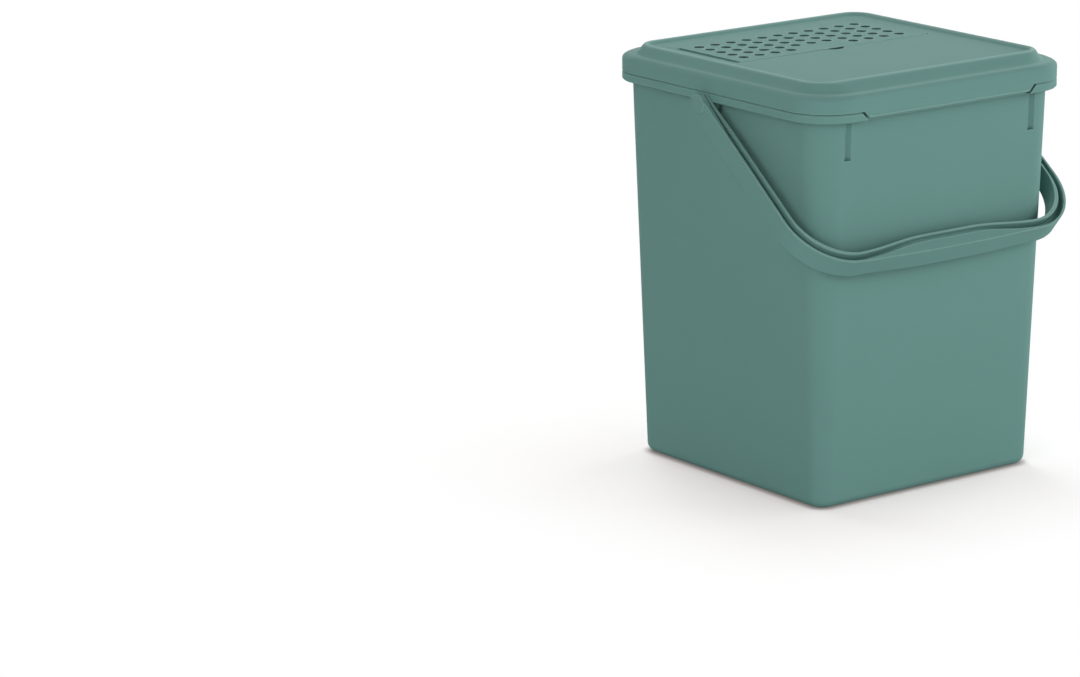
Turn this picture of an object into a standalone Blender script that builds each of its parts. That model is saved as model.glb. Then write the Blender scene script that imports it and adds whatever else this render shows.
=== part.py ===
"""Kitchen compost bin: a tapered bucket with a swinging handle and a vented lid.

Metres, +Z up. The origin is at the middle of the bucket's base, and the front,
where the lid has its grip lip, faces -Y. The handle hangs down over the front.
"""
import math

import bmesh
import bpy
from mathutils import Matrix, Vector

# Bucket, which widens from the base to the bead
BASE_WIDTH = 0.182
BASE_DEPTH = 0.184
BASE_CORNER = 0.011
BASE_ROUNDING = 0.006
RIM_WIDTH = 0.2012
RIM_DEPTH = 0.2016
RIM_CORNER = 0.0195
WALL = 0.0024
FLOOR = 0.003
BUCKET_HEIGHT = 0.259

# Rim bead, which stands out as far as the lid's edge
BEAD_HEIGHT = 0.0057
BEAD_ROUNDING = 0.0008
BEAD_OVERHANG_SIDE = 0.0074
BEAD_OVERHANG_FRONT = 0.0084
BEAD_CORNER = 0.0295

# Short hollows that stiffen the front wall under the bead
FLUTE_SPACING = 0.1552
FLUTE_RADIUS = 0.005
FLUTE_SINK = 0.0014
FLUTE_LENGTH = 0.0258

# Lid
LID_EDGE_HEIGHT = 0.0112
LID_EDGE_ROUNDING = 0.0032
LID_RISE = 0.0065
LID_WALL = 0.0024
SHOULDER_RUN_SIDE = 0.0136
SHOULDER_RUN_FRONT = 0.0185
CREST_CORNER = 0.0125
CREST_WIDTH = 0.005
PANEL_DROP = 0.002
SKIRT_DEPTH = 0.0073
SKIRT_WALL = 0.0022
SKIRT_CLEARANCE = 0.0008

# Grip lip, which hangs over the bead at the front, with 45 degree ends
LIP_WIDTH = 0.1464
LIP_DROP = 0.0042
LIP_THICKNESS = 0.0028
LIP_PROUD = 0.0002
LIP_CLEARANCE = 0.0008

# Vent cover, set flush in the lid's panel
COVER_MARGIN_SIDE = 0.0124
COVER_MARGIN_BACK = 0.0137
COVER_DEPTH = 0.0732
COVER_CORNER = 0.0125
COVER_THICKNESS = 0.0016
COVER_CLEARANCE = 0.0005
HOLE_COLUMNS = 11
HOLE_ROWS = 5
HOLES_LEFT_OUT = 3
HOLE_DIAMETER = 0.0068
HOLE_MARGIN_SIDE = 0.0155
HOLE_MARGIN_FRONT = 0.0122
HOLE_MARGIN_BACK = 0.0156

# Filter well under the cover, and the finger scoop in front of it
LEDGE = 0.003
WELL_DEPTH = 0.009
WELL_WALL = 0.002
WELL_HOLE_COLUMNS = 9
WELL_HOLE_ROWS = 3
WELL_HOLE_DIAMETER = 0.0085
WELL_HOLE_MARGIN = 0.017
SCOOP_RADIUS = 0.0138
SCOOP_DEPTH = 0.0046
SCOOP_SETBACK = 0.0025

# Carbon filter pad
FILTER_CLEARANCE = 0.0008
FILTER_THICKNESS = 0.008
FILTER_ROUNDING = 0.0012

# Carry handle: a bail of channel section that turns on two studs
HANDLE_SWING_CLEARANCE = 0.0189
HANDLE_SIDE_CLEARANCE = 0.0004
HANDLE_CORNER = 0.033
HANDLE_SECTION_WIDTH = 0.0072
HANDLE_SECTION_DEPTH = 0.0135
HANDLE_WALL = 0.0019
GRIP_BOW = 0.0045
GRIP_SWELL = 0.002
HUB_RADIUS = 0.0072
BOSS_RADIUS = 0.0066
STUD_RADIUS = 0.004
STUD_REACH = 0.0046
PIVOT_Y = 0.0035
PIVOT_BELOW_RIM = 0.0078

# Gap between pieces that touch, and the overrun of cuts and joins
GAP = 0.0003
OVERRUN = 0.002

# How finely round shapes are drawn
CORNER_STEPS = 6
HOLE_STEPS = 12
HUB_STEPS = 28
STRAIGHT_STEPS = 3
BEND_STEPS = 7
GRIP_STEPS = 14

# The lid's shoulder, as shares of its run and its rise, and its edge's round
SHOULDER_SHARES = ((0.33, 0.0), (0.43, 0.08), (0.62, 0.42), (0.8, 0.8), (0.9, 0.94), (1.0, 1.0))
EDGE_ROUND_SHARES = ((0.0, 1.0), (0.3, 0.3), (1.0, 0.0))

# Places along the hub's round as shares of its radius, the grip's rise as a share of half its length,
# and how much of the groove's width the grip takes up
HUB_SHARES = (-0.97, -0.82, -0.55, -0.25, 0.0, 0.2)
GRIP_RISE_SHARE = 0.85
GROOVE_NARROWING_SHARE = 0.4

# Heights, spans and places that follow from the sizes above
LID_WIDTH = RIM_WIDTH + 2 * BEAD_OVERHANG_SIDE
LID_DEPTH = RIM_DEPTH + 2 * BEAD_OVERHANG_FRONT
BEAD_BOTTOM = BUCKET_HEIGHT - BEAD_HEIGHT
SEAT = BUCKET_HEIGHT + GAP
EDGE_TOP = SEAT + LID_EDGE_HEIGHT
CREST = EDGE_TOP + LID_RISE
PANEL = CREST - PANEL_DROP
CREST_SPAN_X = LID_WIDTH - 2 * SHOULDER_RUN_SIDE
CREST_SPAN_Y = LID_DEPTH - 2 * SHOULDER_RUN_FRONT
COVER_WIDTH = CREST_SPAN_X - 2 * COVER_MARGIN_SIDE
COVER_BACK_Y = CREST_SPAN_Y / 2 - COVER_MARGIN_BACK
COVER_FRONT_Y = COVER_BACK_Y - COVER_DEPTH
COVER_CENTRE_Y = (COVER_FRONT_Y + COVER_BACK_Y) / 2
LEDGE_TOP = PANEL - COVER_THICKNESS - GAP
WELL_FLOOR = LEDGE_TOP - WELL_DEPTH
WELL_SPAN_X = COVER_WIDTH - 2 * LEDGE
WELL_SPAN_Y = COVER_DEPTH - 2 * LEDGE
WELL_CORNER = COVER_CORNER - LEDGE
SCOOP_CENTRE = Vector((0.0, COVER_FRONT_Y + SCOOP_SETBACK, PANEL - SCOOP_DEPTH + SCOOP_RADIUS))
PIVOT_Z = BUCKET_HEIGHT - PIVOT_BELOW_RIM
ARM_INSIDE = LID_WIDTH / 2 + HANDLE_SIDE_CLEARANCE
LID_REACH = math.hypot(LID_DEPTH / 2 + PIVOT_Y, CREST - PIVOT_Z)
HANDLE_REACH = LID_REACH + HANDLE_SWING_CLEARANCE + GRIP_BOW


def clear_scene():
    for item in list(bpy.data.objects):
        bpy.data.objects.remove(item, do_unlink=True)


def new_collection(name):
    collection = bpy.data.collections.new(name)
    bpy.context.scene.collection.children.link(collection)
    return collection


def plain_material(name, color, roughness):
    material = bpy.data.materials.new(name)
    material.use_nodes = True
    shader = material.node_tree.nodes["Principled BSDF"]
    shader.inputs["Base Color"].default_value = (*color, 1.0)
    shader.inputs["Roughness"].default_value = roughness
    shader.inputs["Metallic"].default_value = 0.0
    material.diffuse_color = (*color, 1.0)
    return material


def add_object(name, bm, collection, material=None):
    mesh = bpy.data.meshes.new(name)
    bm.to_mesh(mesh)
    bm.free()
    mesh.shade_smooth()
    mesh.set_sharp_from_angle(angle=math.radians(40.0))
    item = bpy.data.objects.new(name, mesh)
    collection.objects.link(item)
    if material is not None:
        mesh.materials.append(material)
    return item


def add_tool(name, bm):
    item = add_object(name, bm, cutters)
    item.hide_render = True
    item.display_type = "WIRE"
    return item


def cut(item, tool, operation="DIFFERENCE"):
    step = item.modifiers.new(tool.name, "BOOLEAN")
    step.operation = operation
    step.solver = "EXACT"
    step.object = tool


def rounded_rectangle(width, depth, corner, z):
    # One ring of points, with the same count whatever the size
    points = []
    for quarter in range(4):
        turn = Matrix.Rotation(math.radians(90.0 * quarter), 3, "Z")
        across, along = (width, depth) if quarter % 2 == 0 else (depth, width)
        centre = Vector((across / 2 - corner, along / 2 - corner, z))
        for step in range(CORNER_STEPS + 1):
            angle = math.radians(90.0) * step / CORNER_STEPS
            offset = Vector((corner * math.cos(angle), corner * math.sin(angle), 0.0))
            points.append(turn @ (centre + offset))
    return points


def loft(rings):
    # Skin over rings of points, with both ends closed and its faces outwards
    bm = bmesh.new()
    loops = [[bm.verts.new(point) for point in ring] for ring in rings]
    for lower, upper in zip(loops[:-1], loops[1:]):
        count = len(lower)
        for index in range(count):
            following = (index + 1) % count
            bm.faces.new((lower[index], lower[following], upper[following], upper[index]))
    bm.faces.new(reversed(loops[0]))
    bm.faces.new(loops[-1])
    if bm.calc_volume(signed=True) < 0:
        bmesh.ops.reverse_faces(bm, faces=bm.faces)
    return bm


def rounded_box(width, depth, corner, bottom, top, centre_y):
    # A cube whose upright edges are rounded
    bm = bmesh.new()
    bmesh.ops.create_cube(bm, size=1.0)
    bmesh.ops.scale(bm, vec=(width, depth, top - bottom), verts=bm.verts)
    bmesh.ops.translate(bm, vec=(0.0, centre_y, (bottom + top) / 2), verts=bm.verts)
    upright = [edge for edge in bm.edges if abs(edge.verts[0].co.z - edge.verts[1].co.z) > (top - bottom) / 2]
    bmesh.ops.bevel(bm, geom=upright, offset=corner, segments=CORNER_STEPS, profile=0.5, affect="EDGES")
    return bm


def drum(bm, radius, start, end, steps):
    # A cylinder from one point to another
    axis = end - start
    turn = axis.to_track_quat("Z", "Y").to_matrix().to_4x4()
    place = Matrix.Translation((start + end) / 2) @ turn
    bmesh.ops.create_cone(bm, cap_ends=True, segments=steps, radius1=radius, radius2=radius,
                          depth=axis.length, matrix=place)


def body_size(z):
    # Width, depth and corner radius of the bucket's outside at a height
    share = z / BEAD_BOTTOM
    width = BASE_WIDTH + (RIM_WIDTH - BASE_WIDTH) * share
    depth = BASE_DEPTH + (RIM_DEPTH - BASE_DEPTH) * share
    corner = BASE_CORNER + (RIM_CORNER - BASE_CORNER) * share
    return width, depth, corner


def body_ring(z, inset=0.0):
    width, depth, corner = body_size(z)
    return rounded_rectangle(width - 2 * inset, depth - 2 * inset, corner - inset, z)


def lid_ring(inset, z):
    return rounded_rectangle(LID_WIDTH - 2 * inset, LID_DEPTH - 2 * inset, BEAD_CORNER - inset, z)


def mouth_ring(inset, z):
    # A ring that follows the bucket's mouth, whatever its own height
    return [Vector((point.x, point.y, z)) for point in body_ring(BEAD_BOTTOM, inset)]


def build_bucket():
    rings = []
    for step in range(4):
        angle = math.radians(30.0) * step
        inset = BASE_ROUNDING * (1.0 - math.sin(angle))
        rings.append(body_ring(BASE_ROUNDING * (1.0 - math.cos(angle)), inset))
    rings.append(body_ring(BEAD_BOTTOM))
    rings.append(lid_ring(BEAD_ROUNDING, BEAD_BOTTOM))
    rings.append(lid_ring(0.0, BEAD_BOTTOM + BEAD_ROUNDING))
    rings.append(lid_ring(0.0, BUCKET_HEIGHT - BEAD_ROUNDING))
    rings.append(lid_ring(BEAD_ROUNDING, BUCKET_HEIGHT))
    rings.append(mouth_ring(WALL, BUCKET_HEIGHT))
    rings.append(mouth_ring(WALL, BEAD_BOTTOM))
    rings.append(body_ring(FLOOR + BASE_ROUNDING, WALL))
    rings.append(body_ring(FLOOR, WALL + BASE_ROUNDING / 2))
    bucket = add_object("bucket", loft(rings), parts, sage)
    cut(bucket, lip_relief())
    cut(bucket, flute_tool())
    cut(bucket, pivot_bosses(), "UNION")
    cut(bucket, pivot_studs(), "UNION")
    return bucket


def slanted_bar(name, width, drop, thickness, front_y, top):
    # A bar whose ends slope in at 45 degrees towards its lower edge
    bm = bmesh.new()
    bmesh.ops.create_cube(bm, size=1.0)
    for vert in bm.verts:
        half = width / 2 if vert.co.z > 0 else width / 2 - drop
        vert.co.x = math.copysign(half, vert.co.x)
        vert.co.y = front_y if vert.co.y < 0 else front_y + thickness
        vert.co.z = top if vert.co.z > 0 else top - drop
    return add_tool(name, bm)


def lip_relief():
    # Room in the bead for the lid's grip lip
    top = BUCKET_HEIGHT + OVERRUN
    width = LIP_WIDTH + 2 * (OVERRUN + LIP_CLEARANCE)
    thickness = OVERRUN + LIP_THICKNESS - LIP_PROUD + LIP_CLEARANCE
    return slanted_bar("lip_relief_tool", width, BEAD_HEIGHT + 2 * OVERRUN, thickness,
                       -LID_DEPTH / 2 - OVERRUN, top)


def flute_tool():
    bm = bmesh.new()
    top = BEAD_BOTTOM - GAP
    for side in (-1, 1):
        ends = []
        for z in (top - FLUTE_LENGTH, top):
            y = FLUTE_SINK - FLUTE_RADIUS - body_size(z)[1] / 2
            ends.append(Vector((side * FLUTE_SPACING / 2, y, z)))
        drum(bm, FLUTE_RADIUS, ends[0], ends[1], HUB_STEPS)
    return add_tool("flute_tool", bm)


def pivot_bosses():
    # One on each side, from within the wall out to the bead's edge
    bm = bmesh.new()
    for side in (-1, 1):
        root = Vector((side * (body_size(PIVOT_Z)[0] / 2 - WALL / 2), PIVOT_Y, PIVOT_Z))
        face = Vector((side * (LID_WIDTH / 2 - GAP), PIVOT_Y, PIVOT_Z))
        drum(bm, BOSS_RADIUS, root, face, HUB_STEPS)
    return add_tool("pivot_boss_tool", bm)


def pivot_studs():
    # The studs that the handle turns on
    bm = bmesh.new()
    for side in (-1, 1):
        root = Vector((side * (LID_WIDTH / 2 - OVERRUN), PIVOT_Y, PIVOT_Z))
        tip = Vector((side * (ARM_INSIDE + STUD_REACH), PIVOT_Y, PIVOT_Z))
        drum(bm, STUD_RADIUS, root, tip, HUB_STEPS)
    return add_tool("pivot_stud_tool", bm)


def build_lid():
    rings = [rounded_rectangle(CREST_SPAN_X - 2 * CREST_WIDTH, CREST_SPAN_Y - 2 * CREST_WIDTH,
                               CREST_CORNER - CREST_WIDTH, PANEL)]
    for run, rise in reversed(SHOULDER_SHARES):
        rings.append(rounded_rectangle(LID_WIDTH - 2 * SHOULDER_RUN_SIDE * run,
                                       LID_DEPTH - 2 * SHOULDER_RUN_FRONT * run,
                                       BEAD_CORNER + (CREST_CORNER - BEAD_CORNER) * run,
                                       EDGE_TOP + LID_RISE * rise))
    for drop, inset in EDGE_ROUND_SHARES:
        rings.append(lid_ring(LID_EDGE_ROUNDING * inset, EDGE_TOP - LID_EDGE_ROUNDING * drop))
    rings.append(lid_ring(0.0, SEAT + BEAD_ROUNDING))
    rings.append(lid_ring(BEAD_ROUNDING, SEAT))
    rings.append(lid_ring(LID_WALL, SEAT))
    rings.append(lid_ring(LID_WALL, EDGE_TOP - LID_WALL))
    outer = WALL + SKIRT_CLEARANCE
    inner = outer + SKIRT_WALL
    rings.append(mouth_ring(outer, EDGE_TOP - LID_WALL))
    rings.append(mouth_ring(outer, SEAT - SKIRT_DEPTH))
    rings.append(mouth_ring(inner, SEAT - SKIRT_DEPTH))
    rings.append(mouth_ring(inner, PANEL - LID_WALL))
    lid = add_object("lid", loft(rings), parts, sage)
    cut(lid, grip_lip(), "UNION")
    cut(lid, well_body(), "UNION")
    cut(lid, scoop_pad(), "UNION")
    cut(lid, cover_seat())
    cut(lid, well_inside())
    cut(lid, scoop_tool())
    cut(lid, well_holes())
    return lid


def grip_lip():
    # Starts inside the lid's edge and hangs in front of the bead
    return slanted_bar("grip_lip_tool", LIP_WIDTH + 2 * OVERRUN, LIP_DROP + OVERRUN, LIP_THICKNESS,
                       -LID_DEPTH / 2 - LIP_PROUD, SEAT + OVERRUN)


def well_body():
    side = COVER_CLEARANCE + WELL_WALL
    return add_tool("well_body_tool", rounded_box(
        COVER_WIDTH + 2 * side, COVER_DEPTH + 2 * side, COVER_CORNER + side,
        WELL_FLOOR - WELL_WALL, PANEL - LID_WALL / 2, COVER_CENTRE_Y))


def scoop_pad():
    # Thickens the panel from below where the scoop is sunk in it
    bm = bmesh.new()
    spread = math.sqrt(SCOOP_RADIUS ** 2 - (SCOOP_RADIUS - SCOOP_DEPTH) ** 2)
    low = Vector((0.0, SCOOP_CENTRE.y, PANEL - SCOOP_DEPTH - WELL_WALL))
    high = Vector((0.0, SCOOP_CENTRE.y, PANEL - LID_WALL / 2 - GAP))
    drum(bm, spread + WELL_WALL, low, high, HUB_STEPS)
    return add_tool("scoop_pad_tool", bm)


def cover_seat():
    return add_tool("cover_seat_tool", rounded_box(
        COVER_WIDTH + 2 * COVER_CLEARANCE, COVER_DEPTH + 2 * COVER_CLEARANCE,
        COVER_CORNER + COVER_CLEARANCE, LEDGE_TOP, PANEL + OVERRUN, COVER_CENTRE_Y))


def well_inside():
    return add_tool("well_inside_tool", rounded_box(
        WELL_SPAN_X, WELL_SPAN_Y, WELL_CORNER, WELL_FLOOR, LEDGE_TOP + GAP, COVER_CENTRE_Y))


def scoop_tool():
    bm = bmesh.new()
    bmesh.ops.create_uvsphere(bm, u_segments=HUB_STEPS, v_segments=HUB_STEPS, radius=SCOOP_RADIUS,
                              matrix=Matrix.Translation(SCOOP_CENTRE))
    return add_tool("scoop_tool", bm)


def hole_grid(name, columns, rows, field_x, field_y, diameter, bottom, top):
    # Drums in a grid that fills a field, given as its low and high edges
    bm = bmesh.new()
    left_out = HOLES_LEFT_OUT if rows == HOLE_ROWS else 0
    for row in range(rows):
        y = field_y[0] + (field_y[1] - field_y[0]) * row / (rows - 1)
        for column in range(columns):
            if row == 0 and abs(2 * column - (columns - 1)) < left_out:
                continue
            x = field_x[0] + (field_x[1] - field_x[0]) * column / (columns - 1)
            drum(bm, diameter / 2, Vector((x, y, bottom)), Vector((x, y, top)), HOLE_STEPS)
    return add_tool(name, bm)


def well_holes():
    half_x = WELL_SPAN_X / 2 - WELL_HOLE_MARGIN
    half_y = WELL_SPAN_Y / 2 - WELL_HOLE_MARGIN
    return hole_grid("well_hole_tool", WELL_HOLE_COLUMNS, WELL_HOLE_ROWS, (-half_x, half_x),
                     (COVER_CENTRE_Y - half_y, COVER_CENTRE_Y + half_y), WELL_HOLE_DIAMETER,
                     WELL_FLOOR - WELL_WALL - OVERRUN, WELL_FLOOR + OVERRUN)


def build_vent_cover():
    bottom = PANEL - COVER_THICKNESS
    cover = add_object("vent_cover", rounded_box(COVER_WIDTH, COVER_DEPTH, COVER_CORNER, bottom, PANEL,
                                                 COVER_CENTRE_Y), parts, sage)
    half_x = COVER_WIDTH / 2 - HOLE_MARGIN_SIDE
    cut(cover, hole_grid("vent_hole_tool", HOLE_COLUMNS, HOLE_ROWS, (-half_x, half_x),
                         (COVER_FRONT_Y + HOLE_MARGIN_FRONT, COVER_BACK_Y - HOLE_MARGIN_BACK),
                         HOLE_DIAMETER, bottom - OVERRUN, PANEL + OVERRUN))
    return cover


def build_carbon_filter():
    bottom = WELL_FLOOR + GAP
    bm = rounded_box(WELL_SPAN_X - 2 * FILTER_CLEARANCE, WELL_SPAN_Y - 2 * FILTER_CLEARANCE,
                     WELL_CORNER - FILTER_CLEARANCE, bottom, bottom + FILTER_THICKNESS, COVER_CENTRE_Y)
    rims = [edge for edge in bm.edges if edge.calc_face_angle() > math.radians(60.0)]
    bmesh.ops.bevel(bm, geom=rims, offset=FILTER_ROUNDING, segments=2, profile=0.5, affect="EDGES")
    return add_object("carbon_filter", bm, parts, charcoal)


def handle_path():
    # Half of the bail from its hub to its middle. Each station has the inner edge, the way
    # outwards from it, how far the grip's bow has risen, and half the section's depth.
    stations = []
    straight = HANDLE_REACH - HANDLE_CORNER
    flank = HANDLE_SECTION_DEPTH / 2
    for share in HUB_SHARES:
        round_half = HUB_RADIUS * math.sqrt(1.0 - share ** 2)
        half = round_half if share < 0 else max(round_half, flank)
        stations.append((Vector((ARM_INSIDE, HUB_RADIUS * share)), Vector((1.0, 0.0)), 0.0, half))
    for step in range(1, STRAIGHT_STEPS):
        point = Vector((ARM_INSIDE, straight * step / STRAIGHT_STEPS))
        stations.append((point, Vector((1.0, 0.0)), 0.0, flank))
    centre = Vector((ARM_INSIDE - HANDLE_CORNER, straight))
    for step in range(BEND_STEPS + 1):
        angle = math.radians(90.0) * step / BEND_STEPS
        outward = Vector((math.cos(angle), math.sin(angle)))
        stations.append((centre + HANDLE_CORNER * outward, outward, 0.0, flank))
    for step in range(1, GRIP_STEPS + 1):
        share = step / GRIP_STEPS
        rise = (1.0 - math.cos(math.pi * min(1.0, share / GRIP_RISE_SHARE))) / 2
        point = Vector((centre.x * (1.0 - share), HANDLE_REACH))
        stations.append((point, Vector((0.0, 1.0)), rise, flank))
    return stations


def channel(point, outward, rise, half):
    # The bail's section: a groove open on top, beside an outer wall that thickens at the grip
    inner = -GRIP_BOW * rise
    outer = HANDLE_SECTION_WIDTH + GRIP_SWELL * rise
    near = inner + HANDLE_WALL
    far = near + (HANDLE_SECTION_WIDTH - 2 * HANDLE_WALL) * (1.0 - GROOVE_NARROWING_SHARE * rise)
    floor = HANDLE_WALL - half
    outline = ((inner, -half), (outer, -half), (outer, half), (far, half),
               (far, floor), (near, floor), (near, half), (inner, half))
    return [Vector((point.x + outward.x * across, -(point.y + outward.y * across), up))
            for across, up in outline]


def build_carry_handle():
    rings = [channel(*station) for station in handle_path()]
    for ring in reversed(rings[:-1]):
        rings.append([Vector((-point.x, point.y, point.z)) for point in ring])
    handle = add_object("carry_handle", loft(rings), parts, sage)
    bores = bmesh.new()
    for side in (-1, 1):
        mouth = Vector((side * (ARM_INSIDE - OVERRUN), 0.0, 0.0))
        end = Vector((side * (ARM_INSIDE + HANDLE_WALL + OVERRUN), 0.0, 0.0))
        drum(bores, STUD_RADIUS + GAP, mouth, end, HUB_STEPS)
    bore_tool = add_tool("stud_bore_tool", bores)
    cut(handle, bore_tool)
    for item in (handle, bore_tool):
        item.location = (0.0, PIVOT_Y, PIVOT_Z)
        item.rotation_euler = (resting_angle(1), 0.0, 0.0)
    return handle


def resting_angle(side):
    # How far below level the bail hangs with its grip on the front (1) or back (-1) wall
    slope = (RIM_DEPTH - BASE_DEPTH) / 2 / BEAD_BOTTOM
    reach = HANDLE_REACH - GRIP_BOW
    half = HANDLE_SECTION_DEPTH / 2
    along = reach + slope * half
    across = slope * reach - half
    distance = BASE_DEPTH / 2 + slope * PIVOT_Z + side * PIVOT_Y + GAP
    return math.atan2(across, along) + math.acos(distance / math.hypot(along, across))


clear_scene()
parts = new_collection("kitchen_compost_bin")
cutters = new_collection("cutters")
sage = plain_material("sage_polypropylene", (0.150, 0.262, 0.238), 0.42)
charcoal = plain_material("charcoal_filter_pad", (0.018, 0.018, 0.019), 0.95)
build_bucket()
build_lid()
build_vent_cover()
build_carbon_filter()
build_carry_handle()
print("the handle hangs", round(math.degrees(resting_angle(1)), 2), "degrees below level in front, and",
      round(math.degrees(resting_angle(-1)), 2), "behind")
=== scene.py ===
import math
import bmesh
import bpy
from mathutils import Matrix, Vector


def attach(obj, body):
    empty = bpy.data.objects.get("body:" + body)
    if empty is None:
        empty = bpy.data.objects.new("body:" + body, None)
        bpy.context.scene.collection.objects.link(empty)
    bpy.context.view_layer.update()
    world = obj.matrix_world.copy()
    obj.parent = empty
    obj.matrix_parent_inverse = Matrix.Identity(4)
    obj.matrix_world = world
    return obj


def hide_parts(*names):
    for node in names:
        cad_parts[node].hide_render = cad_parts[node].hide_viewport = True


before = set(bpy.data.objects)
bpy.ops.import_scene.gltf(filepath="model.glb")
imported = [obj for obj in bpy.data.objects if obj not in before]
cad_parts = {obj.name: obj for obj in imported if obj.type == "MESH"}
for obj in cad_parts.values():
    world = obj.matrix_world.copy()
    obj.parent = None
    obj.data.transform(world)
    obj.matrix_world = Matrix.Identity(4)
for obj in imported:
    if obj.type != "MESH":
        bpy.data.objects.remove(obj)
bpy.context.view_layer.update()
print("frame loaded:", sorted(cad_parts))


# modelling helpers, all on Blender's own operators

def setMode(name):
    bpy.ops.object.mode_set(mode=name)


def freshStart():
    if bpy.context.mode != "OBJECT":
        setMode("OBJECT")
    bpy.ops.object.select_all(action="DESELECT")


def pick(*pieces):
    freshStart()
    for piece in pieces:
        piece.select_set(True)
    bpy.context.view_layer.objects.active = pieces[0]


def editMesh():
    return bmesh.from_edit_mesh(bpy.context.edit_object.data)


def selectVerts(test):
    # picks vertices by their place, and the edges between them
    bpy.ops.mesh.select_all(action="DESELECT")
    bm = editMesh()
    for vert in bm.verts:
        if test(vert.co):
            vert.select = True
    selectBetween(bm)


def pushVerts(test, shift):
    # moves the vertices that a test picks
    selectVerts(test)
    bpy.ops.transform.translate(value=shift)


def selectOnly(numbers):
    # picks vertices by number, and the edges between them
    bpy.ops.mesh.select_all(action="DESELECT")
    bm = editMesh()
    bm.verts.ensure_lookup_table()
    for number in numbers:
        bm.verts[number].select = True
    selectBetween(bm)


def selectBetween(bm):
    for edge in bm.edges:
        if edge.verts[0].select and edge.verts[1].select:
            edge.select = True
    bmesh.update_edit_mesh(bpy.context.edit_object.data)


def selectedNumbers():
    bm = editMesh()
    bm.verts.index_update()
    return [vert.index for vert in bm.verts if vert.select]


def selectParts(mode, test):
    # picks the edges or faces that pass a test
    bpy.ops.mesh.select_mode(type=mode)
    bpy.ops.mesh.select_all(action="DESELECT")
    bm = editMesh()
    bm.normal_update()
    for part in bm.edges if mode == "EDGE" else bm.faces:
        if test(part):
            part.select = True
    bmesh.update_edit_mesh(bpy.context.edit_object.data)


def outwards():
    # makes all faces point the same way, and that way outwards
    bpy.ops.mesh.select_all(action="SELECT")
    bpy.ops.mesh.normals_make_consistent(inside=False)
    if editMesh().calc_volume(signed=True) < 0:
        bpy.ops.mesh.flip_normals()


def emptyMesh(name):
    freshStart()
    bpy.ops.mesh.primitive_plane_add(size=0.01)
    piece = bpy.context.object
    piece.name = name
    piece.data.name = name
    setMode("EDIT")
    bpy.ops.mesh.select_mode(type="VERT")
    bpy.ops.mesh.delete(type="VERT")
    return piece


def ring(width, depth, corner, z, y=0.0):
    # a rounded rectangle that an outline passes through
    return {"width": width, "depth": depth, "corner": max(corner, shared["leastCorner"]), "z": z, "y": y}


def quarter(steps):
    # the turns of a quarter circle
    return [math.radians(90.0 * step / steps) for step in range(steps + 1)]


def extrude(shift):
    bpy.ops.mesh.extrude_region_move(TRANSFORM_OT_translate={"value": shift})


def bevel(width, segments, affect="EDGES", clamp=False):
    bpy.ops.mesh.bevel(offset=width, offset_type="OFFSET", segments=segments, profile=0.5,
                       affect=affect, clamp_overlap=clamp)


def reshape(numbers, old, new):
    # each corner of a ring is scaled about its own centre and moved to its new place
    bm = editMesh()
    bm.verts.ensure_lookup_table()
    places = {number: bm.verts[number].co.copy() for number in numbers}
    scale = new["corner"] / old["corner"]
    for sideX in (-1, 1):
        for sideY in (-1, 1):
            corner = [number for number, spot in places.items()
                      if spot.x * sideX > 0 and (spot.y - old["y"]) * sideY > 0]
            centre = (sideX * (old["width"] / 2 - old["corner"]),
                      old["y"] + sideY * (old["depth"] / 2 - old["corner"]), new["z"])
            shift = (sideX * (new["width"] / 2 - new["corner"]) - centre[0],
                     new["y"] + sideY * (new["depth"] / 2 - new["corner"]) - centre[1], 0)
            selectOnly(corner)
            bpy.ops.transform.resize(value=(scale, scale, 1), center_override=centre)
            bpy.ops.transform.translate(value=shift)


def skin(name, rings, steps):
    # starts as a plane with bevelled corners, whose outline is extruded from ring to ring
    first = rings[0]
    piece = emptyMesh(name)
    middle = (0.0, first["y"], first["z"])
    bpy.ops.mesh.primitive_plane_add(size=1, location=middle)
    bpy.ops.transform.resize(value=(first["width"], first["depth"], 1), center_override=middle)
    bevel(first["corner"], steps, "VERTICES")
    bpy.ops.mesh.delete(type="ONLY_FACE")
    bpy.ops.mesh.select_all(action="SELECT")
    outline = selectedNumbers()
    for old, new in zip(rings[:-1], rings[1:]):
        selectOnly(outline)
        extrude((0, 0, new["z"] - old["z"]))
        outline = selectedNumbers()
        reshape(outline, old, new)
    bpy.ops.mesh.select_all(action="SELECT")
    bpy.ops.mesh.fill_holes(sides=0)
    outwards()
    setMode("OBJECT")
    return piece


def block(name, low, high, corner=0.0, steps=8):
    # a cube between two corners, with its upright edges rounded
    freshStart()
    middle = [(a + b) / 2 for a, b in zip(low, high)]
    bpy.ops.mesh.primitive_cube_add(size=1, location=middle)
    piece = bpy.context.object
    piece.name = name
    setMode("EDIT")
    bpy.ops.transform.resize(value=[b - a for a, b in zip(low, high)], center_override=middle)
    setMode("OBJECT")
    bpy.ops.object.transform_apply()
    if corner > 0.0:
        setMode("EDIT")
        selectParts("EDGE", lambda edge: abs(edge.verts[0].co.z - edge.verts[1].co.z) > 1e-5)
        bevel(corner, steps)
        setMode("OBJECT")
    return piece


def drum(name, radius, start, end, steps, farRadius=None):
    # a round bar from one point to another, which may widen
    freshStart()
    axis = Vector(end) - Vector(start)
    bpy.ops.mesh.primitive_cone_add(
        vertices=steps, radius1=radius, radius2=radius if farRadius is None else farRadius,
        depth=axis.length, location=(Vector(start) + Vector(end)) / 2,
        rotation=axis.to_track_quat("Z", "Y").to_euler())
    piece = bpy.context.object
    piece.name = name
    bpy.ops.object.transform_apply()
    return piece


def modify(piece, kind, **settings):
    # adds one modifier, sets it and applies it
    pick(piece)
    bpy.ops.object.modifier_add(type=kind)
    step = piece.modifiers[-1]
    for name, value in settings.items():
        setattr(step, name, value)
    bpy.ops.object.modifier_apply(modifier=step.name)


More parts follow.
